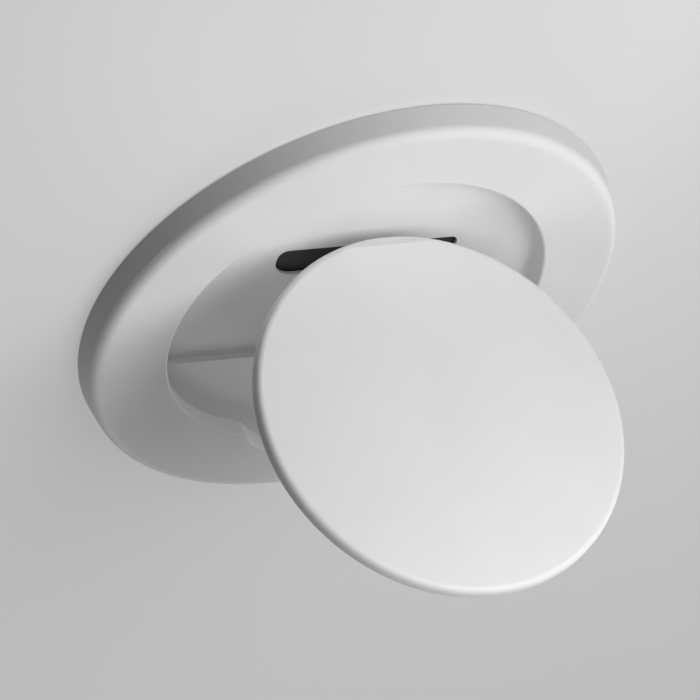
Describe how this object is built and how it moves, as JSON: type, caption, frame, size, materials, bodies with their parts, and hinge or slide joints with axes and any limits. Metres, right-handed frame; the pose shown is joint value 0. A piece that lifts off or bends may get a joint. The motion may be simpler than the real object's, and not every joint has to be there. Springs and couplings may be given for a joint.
{
  "type": "magnetic phone holder",
  "caption": "Flat round magnetic phone holder: the base clings to the back of a phone, and a round disc lifts out of its recess on a strut to stand the phone up.",
  "frame": {"origin": "centre of the magnet face, the black pad on the back", "axes": "+Z out of the front of the base, X along the hinge pins, +Y towards the slot"},
  "size_m": [0.0592, 0.0592, 0.0428],
  "materials": {
    "white_plastic": "satin moulded white plastic",
    "black_rubber": "matt black silicone",
    "adhesive_film": "thin double-sided film",
    "steel": "bright steel",
    "magnet": "nickel plated"
  },
  "bodies": {
    "base": {"front_housing": "white_plastic", "rear_cover": "white_plastic", "grip_pad": "black_rubber", "pad_adhesive": "adhesive_film", "shunt_ring": "steel", "strut_pin": "steel", "magnet_01": "magnet", "magnet_02": "magnet", "magnet_03": "magnet", "magnet_04": "magnet", "magnet_05": "magnet", "magnet_06": "magnet", "magnet_07": "magnet", "magnet_08": "magnet", "magnet_09": "magnet", "magnet_10": "magnet", "magnet_11": "magnet", "magnet_12": "magnet", "magnet_13": "magnet", "magnet_14": "magnet", "magnet_15": "magnet", "magnet_16": "magnet"},
    "strut": {"strut": "white_plastic"},
    "disc": {"stand_disc": "white_plastic", "disc_pin": "steel"}
  },
  "joints": [
    {"name": "strut_hinge", "type": "hinge", "parent": "base", "child": "strut", "pos_m": [0, -0.00832, 0.00138], "axis": [1, 0, 0], "range_deg": [-34.2, 0]},
    {"name": "disc_hinge", "type": "hinge", "parent": "strut", "child": "disc", "pos_m": [0, 0.00729, 0.01199], "axis": [1, 0, 0], "range_deg": [0, 112.1]}
  ],
  "couplings": [
    {"joint": "disc_hinge", "follows": "strut_hinge", "ratio": -3.2773}
  ]
}
